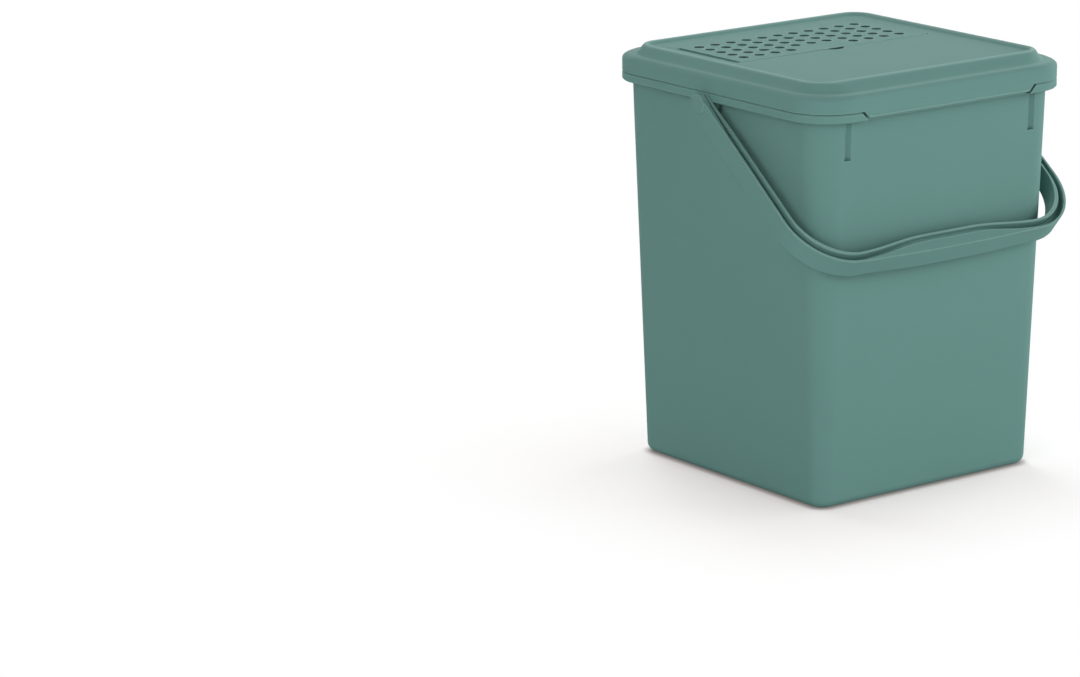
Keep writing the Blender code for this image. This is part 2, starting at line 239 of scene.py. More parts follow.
def combine(piece, tool, operation):
    # a boolean step that uses its tool up
    modify(piece, "BOOLEAN", operation=operation, solver="EXACT", object=tool)
    pick(tool)
    bpy.ops.object.delete()


def softenEdges(piece, width, segments, degrees=32.0):
    modify(piece, "BEVEL", width=width, segments=segments, limit_method="ANGLE",
           angle_limit=math.radians(degrees), miter_outer="MITER_ARC", use_clamp_overlap=True)


def roundEdges(piece, width, segments, test, sharp=0.6):
    # rounds the sharp edges whose two ends both pass a test; the least angle is in radians
    pick(piece)
    setMode("EDIT")
    selectParts("EDGE", lambda edge: edge.calc_face_angle(0.0) > sharp
                and test(edge.verts[0].co) and test(edge.verts[1].co))
    bevel(width, segments, clamp=True)
    setMode("OBJECT")


def smooth(piece, degrees=30.0):
    # smooth shading in which the large flat faces keep their own normals
    pick(piece)
    bpy.ops.object.shade_smooth_by_angle(angle=math.radians(degrees))
    modify(piece, "WEIGHTED_NORMAL", keep_sharp=True)


def slantEnds(piece, level, tall):
    # moves the lower ends of a bar inwards by its height, so that they stand at 45 degrees
    pick(piece)
    setMode("EDIT")
    for side in (-1, 1):
        pushVerts(lambda spot: spot.z < level and spot.x * side > 0, (-side * tall, 0, 0))
    setMode("OBJECT")


def place(piece, body, node):
    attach(piece, body)
    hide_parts(node)


# sizes that several pieces share, in metres
shared = {
    "rim": 0.259,  # top of the bucket
    "beadHeight": 0.0057,
    "lidWidth": 0.216,
    "lidDepth": 0.2184,
    "beadCorner": 0.0295,
    "lidEdge": 0.0112,  # height of the lid's upright edge
    "lidRise": 0.0065,  # from there up to the crest
    "panelDrop": 0.002,
    "gap": 0.0003,  # room between two pieces that touch or turn
    "pivot": (0.0035, 0.2512),  # Y and Z of the handle's axis
    "coverX": 0.164,
    "coverY": (0.0038, 0.077),
    "coverCorner": 0.003,
    "coverThickness": 0.0016,
    "leastCorner": 0.0004,  # corner radius that no outline goes under
    "softEdge": 0.0004,  # how far the moulded edges are rounded
    "softAngle": 50.0,  # edges flatter than this many degrees stay as they are
    "spare": 0.002,  # how far a cutting tool stands out of what it cuts
}
beadBottom = shared["rim"] - shared["beadHeight"]
lidSeat = shared["rim"] + shared["gap"]
edgeTop = lidSeat + shared["lidEdge"]
crestTop = edgeTop + shared["lidRise"]
panelTop = crestTop - shared["panelDrop"]
ledgeTop = panelTop - shared["coverThickness"] - shared["gap"]  # what the cover rests on


def edgeRing(z, insetX, insetY=None, cornerInset=None):
    # a ring set in from the outline that the bead and the lid's edge share
    insetY = insetX if insetY is None else insetY
    cut = (insetX + insetY) / 2 if cornerInset is None else cornerInset
    return ring(shared["lidWidth"] - 2 * insetX, shared["lidDepth"] - 2 * insetY,
                shared["beadCorner"] - cut, z)


# bucket
bucket = {
    "base": (0.182, 0.184, 0.011),  # width, depth and corner radius
    "top": (0.2012, 0.2016, 0.0195),
    "wall": 0.0024,
    "wallSteps": 6,
    "floor": 0.003,
    "baseRound": 0.006,
    "baseSteps": 6,
    "innerRound": 0.005,
    "innerSteps": 5,
    "footInset": 0.014,
    "footRecess": 0.0008,
    "footSlope": 0.0008,
    "rimRound": 0.0006,
    "beadRound": 0.0008,
    "skirtSide": 0.0026,  # thickness of the bead's turned-down edge at the sides
    "skirtFront": 0.0048,
    "skirtHollow": 0.0036,
    "lip": (0.1464, 0.0028, 0.0034),  # width of the lid's lip, room beside it, depth of its seat
    "fluteSpacing": 0.1552,
    "fluteWidth": 0.0056,
    "fluteDepth": 0.0015,
    "fluteRound": 0.0006,
    "fluteLength": 0.0258,
    "fluteTop": 0.0002,  # how far below the bead the flutes end
    "fluteSteps": 64,
    "boss": 0.0066,
    "bossLength": 0.0085,
    "stud": 0.004,
    "studEnds": (0.002, 0.005),  # how far it reaches inwards and outwards from the bead
    "studSoft": 0.0007,
    "barSteps": 48,
    "cornerSteps": 12,
}


def wallRing(z, inset, at=None):
    share = (z if at is None else at) / beadBottom
    width, depth, corner = [a + (b - a) * share for a, b in zip(bucket["base"], bucket["top"])]
    return ring(width - 2 * inset, depth - 2 * inset, corner - inset, z)


def frontWall(z):
    share = z / beadBottom
    return -(bucket["base"][1] + (bucket["top"][1] - bucket["base"][1]) * share) / 2


def makeBucket():
    rim = shared["rim"]
    rings = [wallRing(bucket["footRecess"], bucket["footInset"] + bucket["footSlope"], 0.0),
             wallRing(0.0, bucket["footInset"])]
    for turn in quarter(bucket["baseSteps"]):
        rings.append(wallRing(bucket["baseRound"] * (1 - math.cos(turn)),
                              bucket["baseRound"] * (1 - math.sin(turn))))
    for step in range(1, bucket["wallSteps"] + 1):  # the last one lies half a step under the bead
        share = step / (bucket["wallSteps"] + 0.5)
        rings.append(wallRing(bucket["baseRound"] + (beadBottom - bucket["baseRound"]) * share, 0.0))
    roof = beadBottom + bucket["skirtHollow"]
    curve = bucket["beadRound"]
    rings += [wallRing(roof, 0.0, beadBottom),
              edgeRing(roof, bucket["skirtSide"], bucket["skirtFront"]),
              edgeRing(beadBottom, bucket["skirtSide"], bucket["skirtFront"]),
              edgeRing(beadBottom, curve),
              edgeRing(beadBottom + curve, 0.0),
              edgeRing(rim - curve, 0.0),
              edgeRing(rim, curve),
              wallRing(rim, bucket["wall"] + bucket["rimRound"], beadBottom),
              wallRing(rim - bucket["rimRound"], bucket["wall"], beadBottom),
              wallRing(beadBottom, bucket["wall"])]
    inner = bucket["innerRound"]
    for turn in quarter(bucket["innerSteps"]):
        rings.append(wallRing(bucket["floor"] + inner * (1 - math.sin(turn)),
                              bucket["wall"] + inner * (1 - math.cos(turn))))
    piece = skin("bucketBody", rings, bucket["cornerSteps"])
    softenEdges(piece, shared["softEdge"], 2, shared["softAngle"])

    # boss and stud on each side for the handle
    y, z = shared["pivot"]
    outside = shared["lidWidth"] / 2
    inwards, outwardsReach = bucket["studEnds"]
    for side in (-1, 1):
        boss = drum("boss", bucket["boss"], (side * (outside - bucket["bossLength"]), y, z),
                    (side * (outside - shared["gap"]), y, z), bucket["barSteps"])
        softenEdges(boss, shared["softEdge"], 2)
        combine(piece, boss, "UNION")
        stud = drum("stud", bucket["stud"], (side * (outside - inwards), y, z),
                    (side * (outside + outwardsReach), y, z), bucket["barSteps"])
        softenEdges(stud, bucket["studSoft"], 3)
        combine(piece, stud, "UNION")

    # seat in the bead for the lid's lip, with ends at 45 degrees
    width, room, deep = bucket["lip"]
    front = -shared["lidDepth"] / 2
    spare = shared["spare"]
    half = width / 2 + room
    seat = block("lipSeat", (-half, front - 2 * spare, beadBottom - spare),
                 (half, front + deep, rim + spare))
    slantEnds(seat, rim, shared["beadHeight"] + 2 * spare)
    combine(piece, seat, "DIFFERENCE")

    # two shallow round flutes under the bead, at the ends of the front wall
    high = beadBottom - bucket["fluteTop"]
    low = high - bucket["fluteLength"]
    wide, deep = bucket["fluteWidth"] / 2, bucket["fluteDepth"]
    radius = (wide ** 2 + deep ** 2) / (2 * deep)
    near, onFace = 0.0004, 6e-5
    for side in (-1, 1):
        x = side * bucket["fluteSpacing"] / 2
        flute = drum("flute", radius, (x, frontWall(low) + deep - radius, low),
                     (x, frontWall(high) + deep - radius, high), bucket["fluteSteps"])
        combine(piece, flute, "DIFFERENCE")
        roundEdges(piece, bucket["fluteRound"], 4,
                   lambda spot: abs(spot.x - x) < wide + near and low - near < spot.z < high - near
                   and abs(spot.y - frontWall(spot.z)) < onFace)
    smooth(piece)
    return piece


# lid
lid = {
    "wall": 0.0024,
    "cornerSteps": 12,
    "edgeRound": 0.0032,
    "edgeSteps": 6,
    "footRound": 0.0004,
    "runSide": 0.0136,  # from the lid's outline in to its crest
    "runFront": 0.0185,
    "crestCorner": 0.0125,
    "footCorner": 0.035,  # corner radius where the shoulder meets the edge ring
    "edgeCorner": 0.0065,  # how much rounder the ring's corners are at its top
    "crestWidth": 0.005,
    "crest": ((1.0, 0.0), (0.8, 0.06), (0.55, 0.42), (0.36, 0.78), (0.2, 0.97), (0.1, 1.0)),
    "shoulder": ((0.3, 0.0), (0.36, 0.02), (0.43, 0.08), (0.52, 0.22), (0.62, 0.42), (0.72, 0.64),
                 (0.8, 0.8), (0.87, 0.91), (0.93, 0.97)),
    "skirtDepth": 0.0073,
    "skirtWall": 0.0022,
    "skirtGap": 0.0008,
    "skirtFoot": (0.0008, 0.0012),  # how far its lower edge is cut off, inwards and upwards
    "lip": (0.1432, 0.0042, 0.0028, 0.0002),  # width, drop, thickness, and how proud it stands
    "lipSoft": 0.0005,
    "lipRoll": 0.0009,  # radius of the lip's rolled lower edge
    "rollPlace": (0.55, 0.85),  # its middle behind the lip's face and above its foot, in radii
    "rollEnd": 0.0026,
    "rollSteps": 24,
    "seatGap": 0.0004,
    "frontGap": 0.0008,
    "ledge": 0.003,
    "wellDepth": 0.009,
    "wellWall": 0.002,
    "wellCorner": 0.006,
    "wellSoft": 0.0006,
    "scoopRadius": 0.0138,
    "scoopDepth": 0.0046,
    "scoopSetback": 0.0025,
    "scoopTop": 0.0015,  # how far under the panel's face the wall around the pocket ends
    "scoopSteps": 48,
    "pocket": (0.0092, 0.0047),  # radius of the finger pocket, and its reach in front of the cover
    "pocketSteps": 96,
    "drain": (9, 3, 0.00425, 0.017),  # columns and rows of drain holes, their radius and margin
    "drainSteps": 24,
    "panelRound": 0.0003,
}
wellFloor = ledgeTop - lid["wellDepth"]


def makeLid():
    spanX = shared["lidWidth"] - 2 * lid["runSide"]
    spanY = shared["lidDepth"] - 2 * lid["runFront"]
    rings = []
    for share, height in lid["crest"]:
        inset = lid["crestWidth"] * share
        rings.append(ring(spanX - 2 * inset, spanY - 2 * inset, lid["crestCorner"] - inset,
                          panelTop + shared["panelDrop"] * height))
    firstRun = lid["shoulder"][0][0]
    for run, rise in reversed(lid["shoulder"]):
        widening = (lid["footCorner"] - lid["crestCorner"]) * (1 - run) / (1 - firstRun)
        rings.append(ring(shared["lidWidth"] - 2 * lid["runSide"] * run,
                          shared["lidDepth"] - 2 * lid["runFront"] * run,
                          lid["crestCorner"] + widening, edgeTop + shared["lidRise"] * rise))
    for turn in quarter(lid["edgeSteps"]):
        inwards = 1 - math.sin(turn)
        rings.append(edgeRing(edgeTop - lid["edgeRound"] * (1 - math.cos(turn)),
                              lid["edgeRound"] * inwards, cornerInset=-lid["edgeCorner"] * inwards))
    for inwards, upwards in ((0.0, 1.0), (0.3, 0.3), (1.0, 0.0)):
        rings.append(edgeRing(lidSeat + lid["footRound"] * upwards, lid["footRound"] * inwards))
    roof = edgeTop - lid["wall"]
    outer = bucket["wall"] + lid["skirtGap"]
    inner = outer + lid["skirtWall"]
    low = lidSeat - lid["skirtDepth"]
    cutIn, cutUp = lid["skirtFoot"]
    rings += [edgeRing(lidSeat, lid["wall"]),
              edgeRing(roof, lid["wall"]),
              wallRing(roof, outer, beadBottom),
              wallRing(low + cutUp, outer, beadBottom),
              wallRing(low, outer + cutIn, beadBottom),
              wallRing(low, inner, beadBottom),
              wallRing(panelTop - lid["wall"], inner, beadBottom)]
    piece = skin("lidShell", rings, lid["cornerSteps"])
    softenEdges(piece, shared["softEdge"], 2, shared["softAngle"])
    addGripLip(piece)
    addFilterWell(piece)
    smooth(piece)
    return piece


def addGripLip(piece):
    # the lip hangs over the bead at the front, and its lower edge is rolled
    width, hang, thick, proud = lid["lip"]
    spare = shared["spare"]
    front = -shared["lidDepth"] / 2 - proud
    half = width / 2 + spare
    lip = block("lip", (-half, front, lidSeat - hang), (half, front + thick, lidSeat + spare))
    slantEnds(lip, lidSeat, hang + spare)
    softenEdges(lip, lid["lipSoft"], 2)
    combine(piece, lip, "UNION")
    roll = lid["lipRoll"]
    behind, above = lid["rollPlace"]
    end = half - hang - lid["rollEnd"]
    y, z = front + roll * behind, lidSeat - hang + roll * above
    edge = drum("lipRoll", roll, (-end, y, z), (end, y, z), lid["rollSteps"])
    softenEdges(edge, shared["softEdge"], 2)
    combine(piece, edge, "UNION")


def addFilterWell(piece):
    # the well hangs under the panel, with the finger pocket at its front
    low, high = shared["coverY"]
    halfX = shared["coverX"] / 2
    spare, gap, wall = shared["spare"], lid["seatGap"], lid["wellWall"]
    well = block("well", (-halfX - gap - wall, low - gap - wall, wellFloor - wall),
                 (halfX + gap + wall, high + gap + wall, panelTop - lid["wall"] / 2),
                 lid["wellCorner"] + wall)
    softenEdges(well, lid["wellSoft"], 2)
    combine(piece, well, "UNION")
    radius, deep = lid["scoopRadius"], lid["scoopDepth"]
    spread = math.sqrt(radius ** 2 - (radius - deep) ** 2)
    y = low + lid["scoopSetback"]
    scoop = drum("scoopPad", spread + wall, (0, y, panelTop - deep - wall),
                 (0, y, panelTop - lid["scoopTop"]), lid["scoopSteps"])
    combine(piece, scoop, "UNION")
    seat = block("coverSeat", (-halfX - gap, low - lid["frontGap"], ledgeTop),
                 (halfX + gap, high + gap, panelTop + spare), shared["coverCorner"] + gap)
    combine(piece, seat, "DIFFERENCE")
    ledge = lid["ledge"]
    hollow = block("hollow", (-halfX + ledge, low + ledge, wellFloor),
                   (halfX - ledge, high - ledge, ledgeTop + shared["gap"]), lid["wellCorner"])
    combine(piece, hollow, "DIFFERENCE")
    reach, forward = lid["pocket"]
    y = low - forward + reach
    pocket = drum("pocket", reach, (0, y, panelTop - deep), (0, y, panelTop + spare), lid["pocketSteps"])
    combine(piece, pocket, "DIFFERENCE")

    # drain holes in the floor of the well, made once and copied
    columns, rows, radius, margin = lid["drain"]
    first = drum("drainHole", radius, (0, 0, wellFloor - 2 * spare), (0, 0, wellFloor + spare),
                 lid["drainSteps"])
    side = halfX - ledge - margin
    holes = gridOf(first, columns, rows, (-side, side), (low + ledge + margin, high - ledge - margin))
    combine(piece, holes, "DIFFERENCE")

    # the panel's edges around the cover and the pocket
    near, onPanel = 0.003, 2e-5
    roundEdges(piece, lid["panelRound"], 2,
               lambda spot: abs(spot.z - panelTop) < onPanel and abs(spot.x) < halfX + near
               and low - forward - near < spot.y < high + near)


def gridOf(first, columns, rows, spanX, spanY, leftOut=0):
    # copies one tool over a grid and joins the copies
    copies = []
    for row in range(rows):
        y = spanY[0] + (spanY[1] - spanY[0]) * row / (rows - 1)
        for column in range(columns):
            if row == 0 and abs(2 * column - (columns - 1)) < leftOut:
                continue
            x = spanX[0] + (spanX[1] - spanX[0]) * column / (columns - 1)
            pick(first)
            bpy.ops.object.duplicate()
            copy = bpy.context.object
            copy.location = (x, y, 0)
            copies.append(copy)
    pick(first)
    bpy.ops.object.delete()
    pick(*copies)
    bpy.ops.object.join()
    joined = bpy.context.object
    bpy.ops.object.transform_apply()
    return joined


# vent cover
cover = {
    "frontInset": 0.0003,
    "slot": (0.0042, 0.0665),  # width of the slot on the cover's left, and where it ends
    "fingerRoom": (0.0082, 0.0026, 0.0019),  # half width, depth, and lean of the undercut for a finger
    "fingerSkin": 0.0003,  # what is left of the cover above it
    "columns": 11,
    "rows": 5,
    "leftOut": 3,  # holes that the front row lacks in its middle
    "hole": 0.0035,
    "holeUnder": 0.0044,  # the holes widen downwards
    "holeStraight": 0.0004,
    "holeSteps": 32,
    "flareFoot": 0.0005,  # how far the widening goes on below the cover
    "flareTip": (0.00005, 0.00002),  # its end above the cover, and how much narrower it is there
    "marginSide": 0.0155,
    "marginFront": 0.0122,
    "marginBack": 0.0156,
    "soft": 0.0003,
}


def makeVentCover():
    low, high = shared["coverY"]
    halfX = shared["coverX"] / 2
    spare = shared["spare"]
    bottom = panelTop - shared["coverThickness"]
    piece = block("ventCover", (-halfX, low + cover["frontInset"], bottom), (halfX, high, panelTop),
                  shared["coverCorner"])

    # one hole, made once and copied
    radius, foot = cover["hole"], cover["flareFoot"]
    tipUp, tipIn = cover["flareTip"]
    hole = drum("ventHole", cover["holeUnder"] + foot, (0, 0, bottom - foot), (0, 0, panelTop + tipUp),
                cover["holeSteps"], radius - tipIn)
    through = drum("ventHole", radius, (0, 0, panelTop - cover["holeStraight"]),
                   (0, 0, panelTop + spare / 2), cover["holeSteps"])
    combine(hole, through, "UNION")
    side = halfX - cover["marginSide"]
    holes = gridOf(hole, cover["columns"], cover["rows"], (-side, side),
                   (low + cover["marginFront"], high - cover["marginBack"]), cover["leftOut"])
    combine(piece, holes, "DIFFERENCE")

    # slot at the side, and room for a finger under the front edge
    slot, slotEnd = cover["slot"]
    cut = block("slot", (-halfX - spare, low - 2 * spare, bottom - spare / 2),
                (slot - halfX, slotEnd, panelTop + spare / 2))
    combine(piece, cut, "DIFFERENCE")
    half, deep, lean = cover["fingerRoom"]
    room = block("fingerRoom", (-half, low - 3 * spare, bottom - spare / 2),
                 (half, low + deep, panelTop - cover["fingerSkin"]))
    pick(room)
    setMode("EDIT")
    pushVerts(lambda spot: spot.z > bottom and spot.y > low, (0, -lean, 0))
    setMode("OBJECT")
    combine(piece, room, "DIFFERENCE")
    softenEdges(piece, cover["soft"], 2, shared["softAngle"])
    smooth(piece)
    return piece


# filter pad in the well, swollen by a short cloth simulation
pad = {
    "thickness": 0.008,
    "clearance": 0.0008,  # room between it and the well's walls
    "shrink": 0.0009,  # how much smaller it starts, on every side
    "cornerSteps": 10,
    "soft": (0.0022, 5, 60.0),  # width and steps of its rounded edges, and their least angle
    "voxel": 0.0022,
    "pressure": 4.0,
    "frames": 20,
    "cap": 0.0012,  # how far a point may move
}


def makeFilterPad():
    low, high = shared["coverY"]
    halfX = shared["coverX"] / 2
    side = lid["ledge"] + pad["clearance"]
    bottom = wellFloor + shared["gap"]
    least = Vector((side - halfX, low + side, bottom))
    most = Vector((halfX - side, high - side, bottom + pad["thickness"]))
    shrink = Vector((pad["shrink"],) * 3)
    piece = block("filterPad", least + shrink, most - shrink, lid["wellCorner"], pad["cornerSteps"])
    softenEdges(piece, *pad["soft"])
    modify(piece, "REMESH", mode="VOXEL", voxel_size=pad["voxel"])
    start = [vert.co.copy() for vert in piece.data.vertices]
    bpy.ops.object.modifier_add(type="CLOTH")
    step = piece.modifiers[-1]
    step.settings.use_pressure = True
    step.settings.uniform_pressure_force = pad["pressure"]
    step.settings.effector_weights.gravity = 0.0
    for number in range(1, pad["frames"] + 1):
        bpy.context.scene.frame_set(number)
    bpy.ops.object.modifier_apply(modifier=step.name)
    bpy.context.scene.frame_set(1)
    for vert, old in zip(piece.data.vertices, start):
        move = vert.co - old
        if move.length > pad["cap"]:
            move *= pad["cap"] / move.length
        vert.co = [min(max(value, small), large) for value, small, large in zip(old + move, least, most)]
    modify(piece, "SUBSURF", levels=1, render_levels=1)
    bpy.ops.object.shade_smooth()
    return piece


# carry handle, modelled level with its axis at the origin and then turned down on to the front wall
handle = {
    "armInside": 0.1084,
    "reach": 0.1393,
    "corner": 0.033,
    "width": 0.0072,
    "depth": 0.0135,
    "wall": 0.0015,
    "bow": 0.0045,
    "swell": (0.0006, 0.0018),  # how far the grip's outer face swells at its top and its bottom edge
    "riseShare": 0.74,
    "grooveDepth": 0.0054,
    "grooveEnd": 0.45,  # where it ends behind the axis, in hub radii
    "gripGroove": 0.0024,  # depth and width of the groove beside the grip's land
    "grooveWidth": 0.0034,
    "landFall": 0.0006,
    "innerRise": 0.0007,  # how much higher the inner wall stands
    "innerRiseEnd": 0.009,  # and how far in front of the axis that ends
    "bendSwell": 0.0012,  # extra thickness of the inner wall in the bends
    "armTaper": 0.0008,  # how much thinner the arm is than its hub
    "armThinning": (0.4, 0.3),  # share of that at the first station, and what each next one adds
    "hub": 0.0072,
    "hubWall": 0.0021,  # extra thickness of the outer wall at the hub
    "hubBands": ((-0.004, 0.01, 1.0), (-0.0062, -0.004, 0.9), (-0.008, -0.0062, 0.75)),
    "bore": 0.0043,
    "boreEnds": (0.002, 0.005),  # how far it is cut inwards and outwards from the arm's inner face
    "boreSteps": 48,
    "soft": (0.0005, 3, 40.0),  # width and steps of the rounded edges, and their least angle
    "cap": (0.0057, 0.0022),  # radius and length of the cap on the hub
    "capCentre": (-0.0013, 0.0014),
    "capSoft": (0.0007, 4),
    "capSteps": 64,
    "hang": 38.26,
    "gripSteps": 28,
    "bendSteps": 16,
    "armShares": (0.25, 0.5, 0.75, 1.0),
    "armEnd": 0.95,  # where the arm's stations end, in hub radii
    "hubShares": (-0.97, -0.88, -0.75, -0.55, -0.3, 0.0, 0.3),
}
bendX = handle["armInside"] - handle["corner"]  # middle of the right-hand bend
bendY = handle["corner"] - handle["reach"]
armOutside = handle["armInside"] + handle["width"]
gripPitch = bendX / handle["gripSteps"]


def makeHandle():
    piece = emptyMesh("carryHandle")
    stations = sweepHalf()
    bowGrip()
    thinArm(stations)
    setMode("OBJECT")
    modify(piece, "MIRROR", merge_threshold=1e-5)
    setMode("EDIT")
    outwards()
    cutGroove()
    shapeWalls()
    setMode("OBJECT")
    fitHubs(piece)
    y, z = shared["pivot"]
    piece.rotation_euler = (math.radians(handle["hang"]), 0, 0)
    piece.location = (0, y, z)
    pick(piece)
    bpy.ops.object.transform_apply()
    smooth(piece)
    return piece


def sweepHalf():
    # takes the section from the middle of the grip round the bend to the hub
    width, depth, hub = handle["width"], handle["depth"], handle["hub"]
    middle = (0.0, -(handle["reach"] + width / 2), 0.0)
    bpy.ops.mesh.primitive_plane_add(size=1, location=middle, rotation=(0, math.radians(90), 0))
    bpy.ops.transform.resize(value=(1, width, depth), center_override=middle)
    bpy.ops.mesh.select_mode(type="FACE")
    bpy.ops.mesh.select_all(action="SELECT")
    for step in range(handle["gripSteps"]):
        extrude((gripPitch, 0, 0))
    bpy.ops.mesh.spin(steps=handle["bendSteps"], angle=math.radians(-90), center=(bendX, bendY, 0),
                      axis=(0, 0, 1))
    armLength = -bendY - hub * handle["armEnd"]
    stations = [bendY + armLength * share for share in handle["armShares"]]
    stations += [-hub * share for share in reversed(handle["hubShares"])]
    here, half = bendY, depth / 2
    for y in stations:
        extrude((0, y - here, 0))
        wanted = hub * math.sqrt(max(0.0, 1 - (y / hub) ** 2))
        if y <= 0:
            wanted = max(wanted, depth / 2)
        bpy.ops.transform.resize(value=(1, 1, wanted / half), center_override=(0, y, 0))
        here, half = y, wanted

    # the middle's own face goes
    selectParts("FACE", lambda face: abs(face.calc_center_median().x) < 1e-6 and abs(face.normal.x) > 0.9)
    bpy.ops.mesh.delete(type="ONLY_FACE")
    bpy.ops.mesh.select_mode(type="VERT")
    return stations


def bowGrip():
    # the grip is bowed station by station, and its outer face swells
    inner, outer = -handle["reach"], -(handle["reach"] + handle["width"])
    upper, lower = handle["swell"]
    near, still = 1e-5, 1e-7
    for step in range(handle["gripSteps"]):
        x = bendX * step / handle["gripSteps"]
        rise = gripRise(x)
        for level, shift, sides in ((inner, handle["bow"] * rise, (-1, 1)),
                                    (outer, -upper * rise, (1,)), (outer, -lower * rise, (-1,))):
            if abs(shift) > still:
                pushVerts(lambda spot: abs(spot.x - x) < near and abs(spot.y - level) < near
                          and math.copysign(1, spot.z) in sides, (0, shift, 0))


def thinArm(stations):
    # the arm's outer face lies further in than the hub's
    first, added = handle["armThinning"]
    nearY, nearX = 1e-5, 1e-4
    for number, y in enumerate(stations):
        thin = handle["armTaper"] * min(1.0, first + added * number)
        pushVerts(lambda spot: abs(spot.y - y) < nearY and abs(spot.x - armOutside) < nearX, (-thin, 0, 0))


def cutGroove():
    # insets the top and pushes its inner part down
    wall, width, deep = handle["wall"], handle["width"], handle["grooveDepth"]
    swell = handle["swell"][0]
    upwards, grooveEnd = 0.3, handle["hub"] * handle["grooveEnd"]
    selectParts("FACE", lambda face: face.normal.z > upwards and face.calc_center_median().y < grooveEnd)
    bpy.ops.mesh.inset(thickness=wall, use_even_offset=True)
    extrude((0, 0, -deep))
    bpy.ops.mesh.select_mode(type="VERT")

    # beside the grip the groove narrows to leave a broad land, which falls outwards
    grooveFloor = handle["depth"] / 2 - deep
    landWidth = width + handle["bow"] + swell - 2 * wall - handle["grooveWidth"]
    onWall, onFront, onFloor = 0.0007, 0.0003, 1e-4
    for step in range(-handle["gripSteps"] + 1, handle["gripSteps"]):
        x = gripPitch * step
        rise = gripRise(x)
        front = -(handle["reach"] + width + swell * rise)
        pushStation(x, lambda spot: abs(spot.y - front - wall) < onWall, (0, landWidth * rise, 0))
        pushStation(x, lambda spot: abs(spot.y - front) < onFront and spot.z > 0,
                    (0, 0, -handle["landFall"] * rise))
        pushStation(x, lambda spot: abs(spot.z - grooveFloor) < onFloor,
                    (0, 0, (deep - handle["gripGroove"]) * rise))


def pushStation(x, test, shift):
    # moves some vertices of one station of the grip
    pushVerts(lambda spot: abs(spot.x - x) < gripPitch / 2 and test(spot), shift)


def shapeWalls():
    # the inner wall stands higher and is thicker in the bends
    onTop, onBend, onWall = 0.0004, 0.0005, 0.0004
    top = handle["depth"] / 2 - onTop
    pushVerts(lambda spot: spot.z > top and spot.y < -handle["innerRiseEnd"] and onInnerWall(spot),
              (0, 0, handle["innerRise"]))
    for side in (-1, 1):
        for step in range(1, handle["bendSteps"]):
            turn = math.pi / 2 * step / handle["bendSteps"]
            spotX = side * (bendX + handle["corner"] * math.cos(turn))
            spotY = bendY - handle["corner"] * math.sin(turn)
            push = handle["bendSwell"] * math.sin(turn * 2)
            pushVerts(lambda spot: math.hypot(spot.x - spotX, spot.y - spotY) < onBend,
                      (-side * math.cos(turn) * push, math.sin(turn) * push, 0))

    # the outer wall is thicker at the hubs
    inside = armOutside - handle["armTaper"] - handle["wall"]
    for side in (-1, 1):
        for low, high, share in handle["hubBands"]:
            pushVerts(lambda spot: low < spot.y <= high and abs(spot.x * side - inside) < onWall,
                      (-side * handle["hubWall"] * share, 0, 0))


def fitHubs(piece):
    # a bore in each arm's inner wall, and a round cap outside it
    inwards, outwardsReach = handle["boreEnds"]
    for side in (-1, 1):
        bore = drum("bore", handle["bore"], (side * (handle["armInside"] - inwards), 0, 0),
                    (side * (handle["armInside"] + outwardsReach), 0, 0), handle["boreSteps"])
        combine(piece, bore, "DIFFERENCE")
    softenEdges(piece, *handle["soft"])
    radius, length = handle["cap"]
    y, z = handle["capCentre"]
    for side in (-1, 1):
        cap = drum("hubCap", radius, (side * (armOutside - length), y, z), (side * armOutside, y, z),
                   handle["capSteps"])
        softenEdges(cap, *handle["capSoft"])
        combine(piece, cap, "UNION")


def onInnerWall(spot):
    # true on the wall of the channel that faces the bucket
    nearWall = 0.0003
    within = handle["wall"] + nearWall
    if abs(spot.x) <= bendX:
        return spot.y > -handle["reach"] + handle["bow"] * gripRise(spot.x) - within
    if spot.y > bendY:
        return abs(spot.x) < handle["armInside"] + within
    return math.hypot(abs(spot.x) - bendX, spot.y - bendY) < handle["corner"] + within


def gripRise(x):
    # how much of the grip's full bow is reached at a place along it
    share = min(1.0, (1 - abs(x) / bendX) / handle["riseShare"])
    return (1 - math.cos(math.pi * share)) / 2


bucketBody = makeBucket()
print("bucket:", len(bucketBody.data.polygons), "faces")
lidShell = makeLid()
print("lid:", len(lidShell.data.polygons), "faces")
ventCover = makeVentCover()
print("vent cover:", len(ventCover.data.polygons), "faces")
filterPad = makeFilterPad()
print("filter pad:", len(filterPad.data.polygons), "faces")
carryHandle = makeHandle()
print("handle:", len(carryHandle.data.polygons), "faces")


# materials

class Node:
    # wraps a socket, so that sums of sockets and numbers read as plain arithmetic
    def __init__(self, tree, socket):
        self.tree = tree
        self.socket = socket

    def math(self, operation, *others):
        node = self.tree.nodes.new("ShaderNodeMath")
        node.operation = operation
        for spot, value in zip(node.inputs, others):
            if isinstance(value, Node):
                self.tree.links.new(value.socket, spot)
            else:
                spot.default_value = value
        return Node(self.tree, node.outputs[0])

    def into(self, node, name):
        self.tree.links.new(self.socket, node.inputs[name])

    def size(self):
        return self.math("ABSOLUTE", self)

    def clamp(self):
        return self.math("MINIMUM", self.math("MAXIMUM", self, 0.0), 1.0)

    def __add__(self, other):
        return self.math("ADD", self, other)

    def __radd__(self, other):
        return self.math("ADD", other, self)

    def __sub__(self, other):
        return self.math("SUBTRACT", self, other)

    def __rsub__(self, other):
        return self.math("SUBTRACT", other, self)

    def __mul__(self, other):
        return self.math("MULTIPLY", self, other)

    def __rmul__(self, other):
        return self.math("MULTIPLY", other, self)


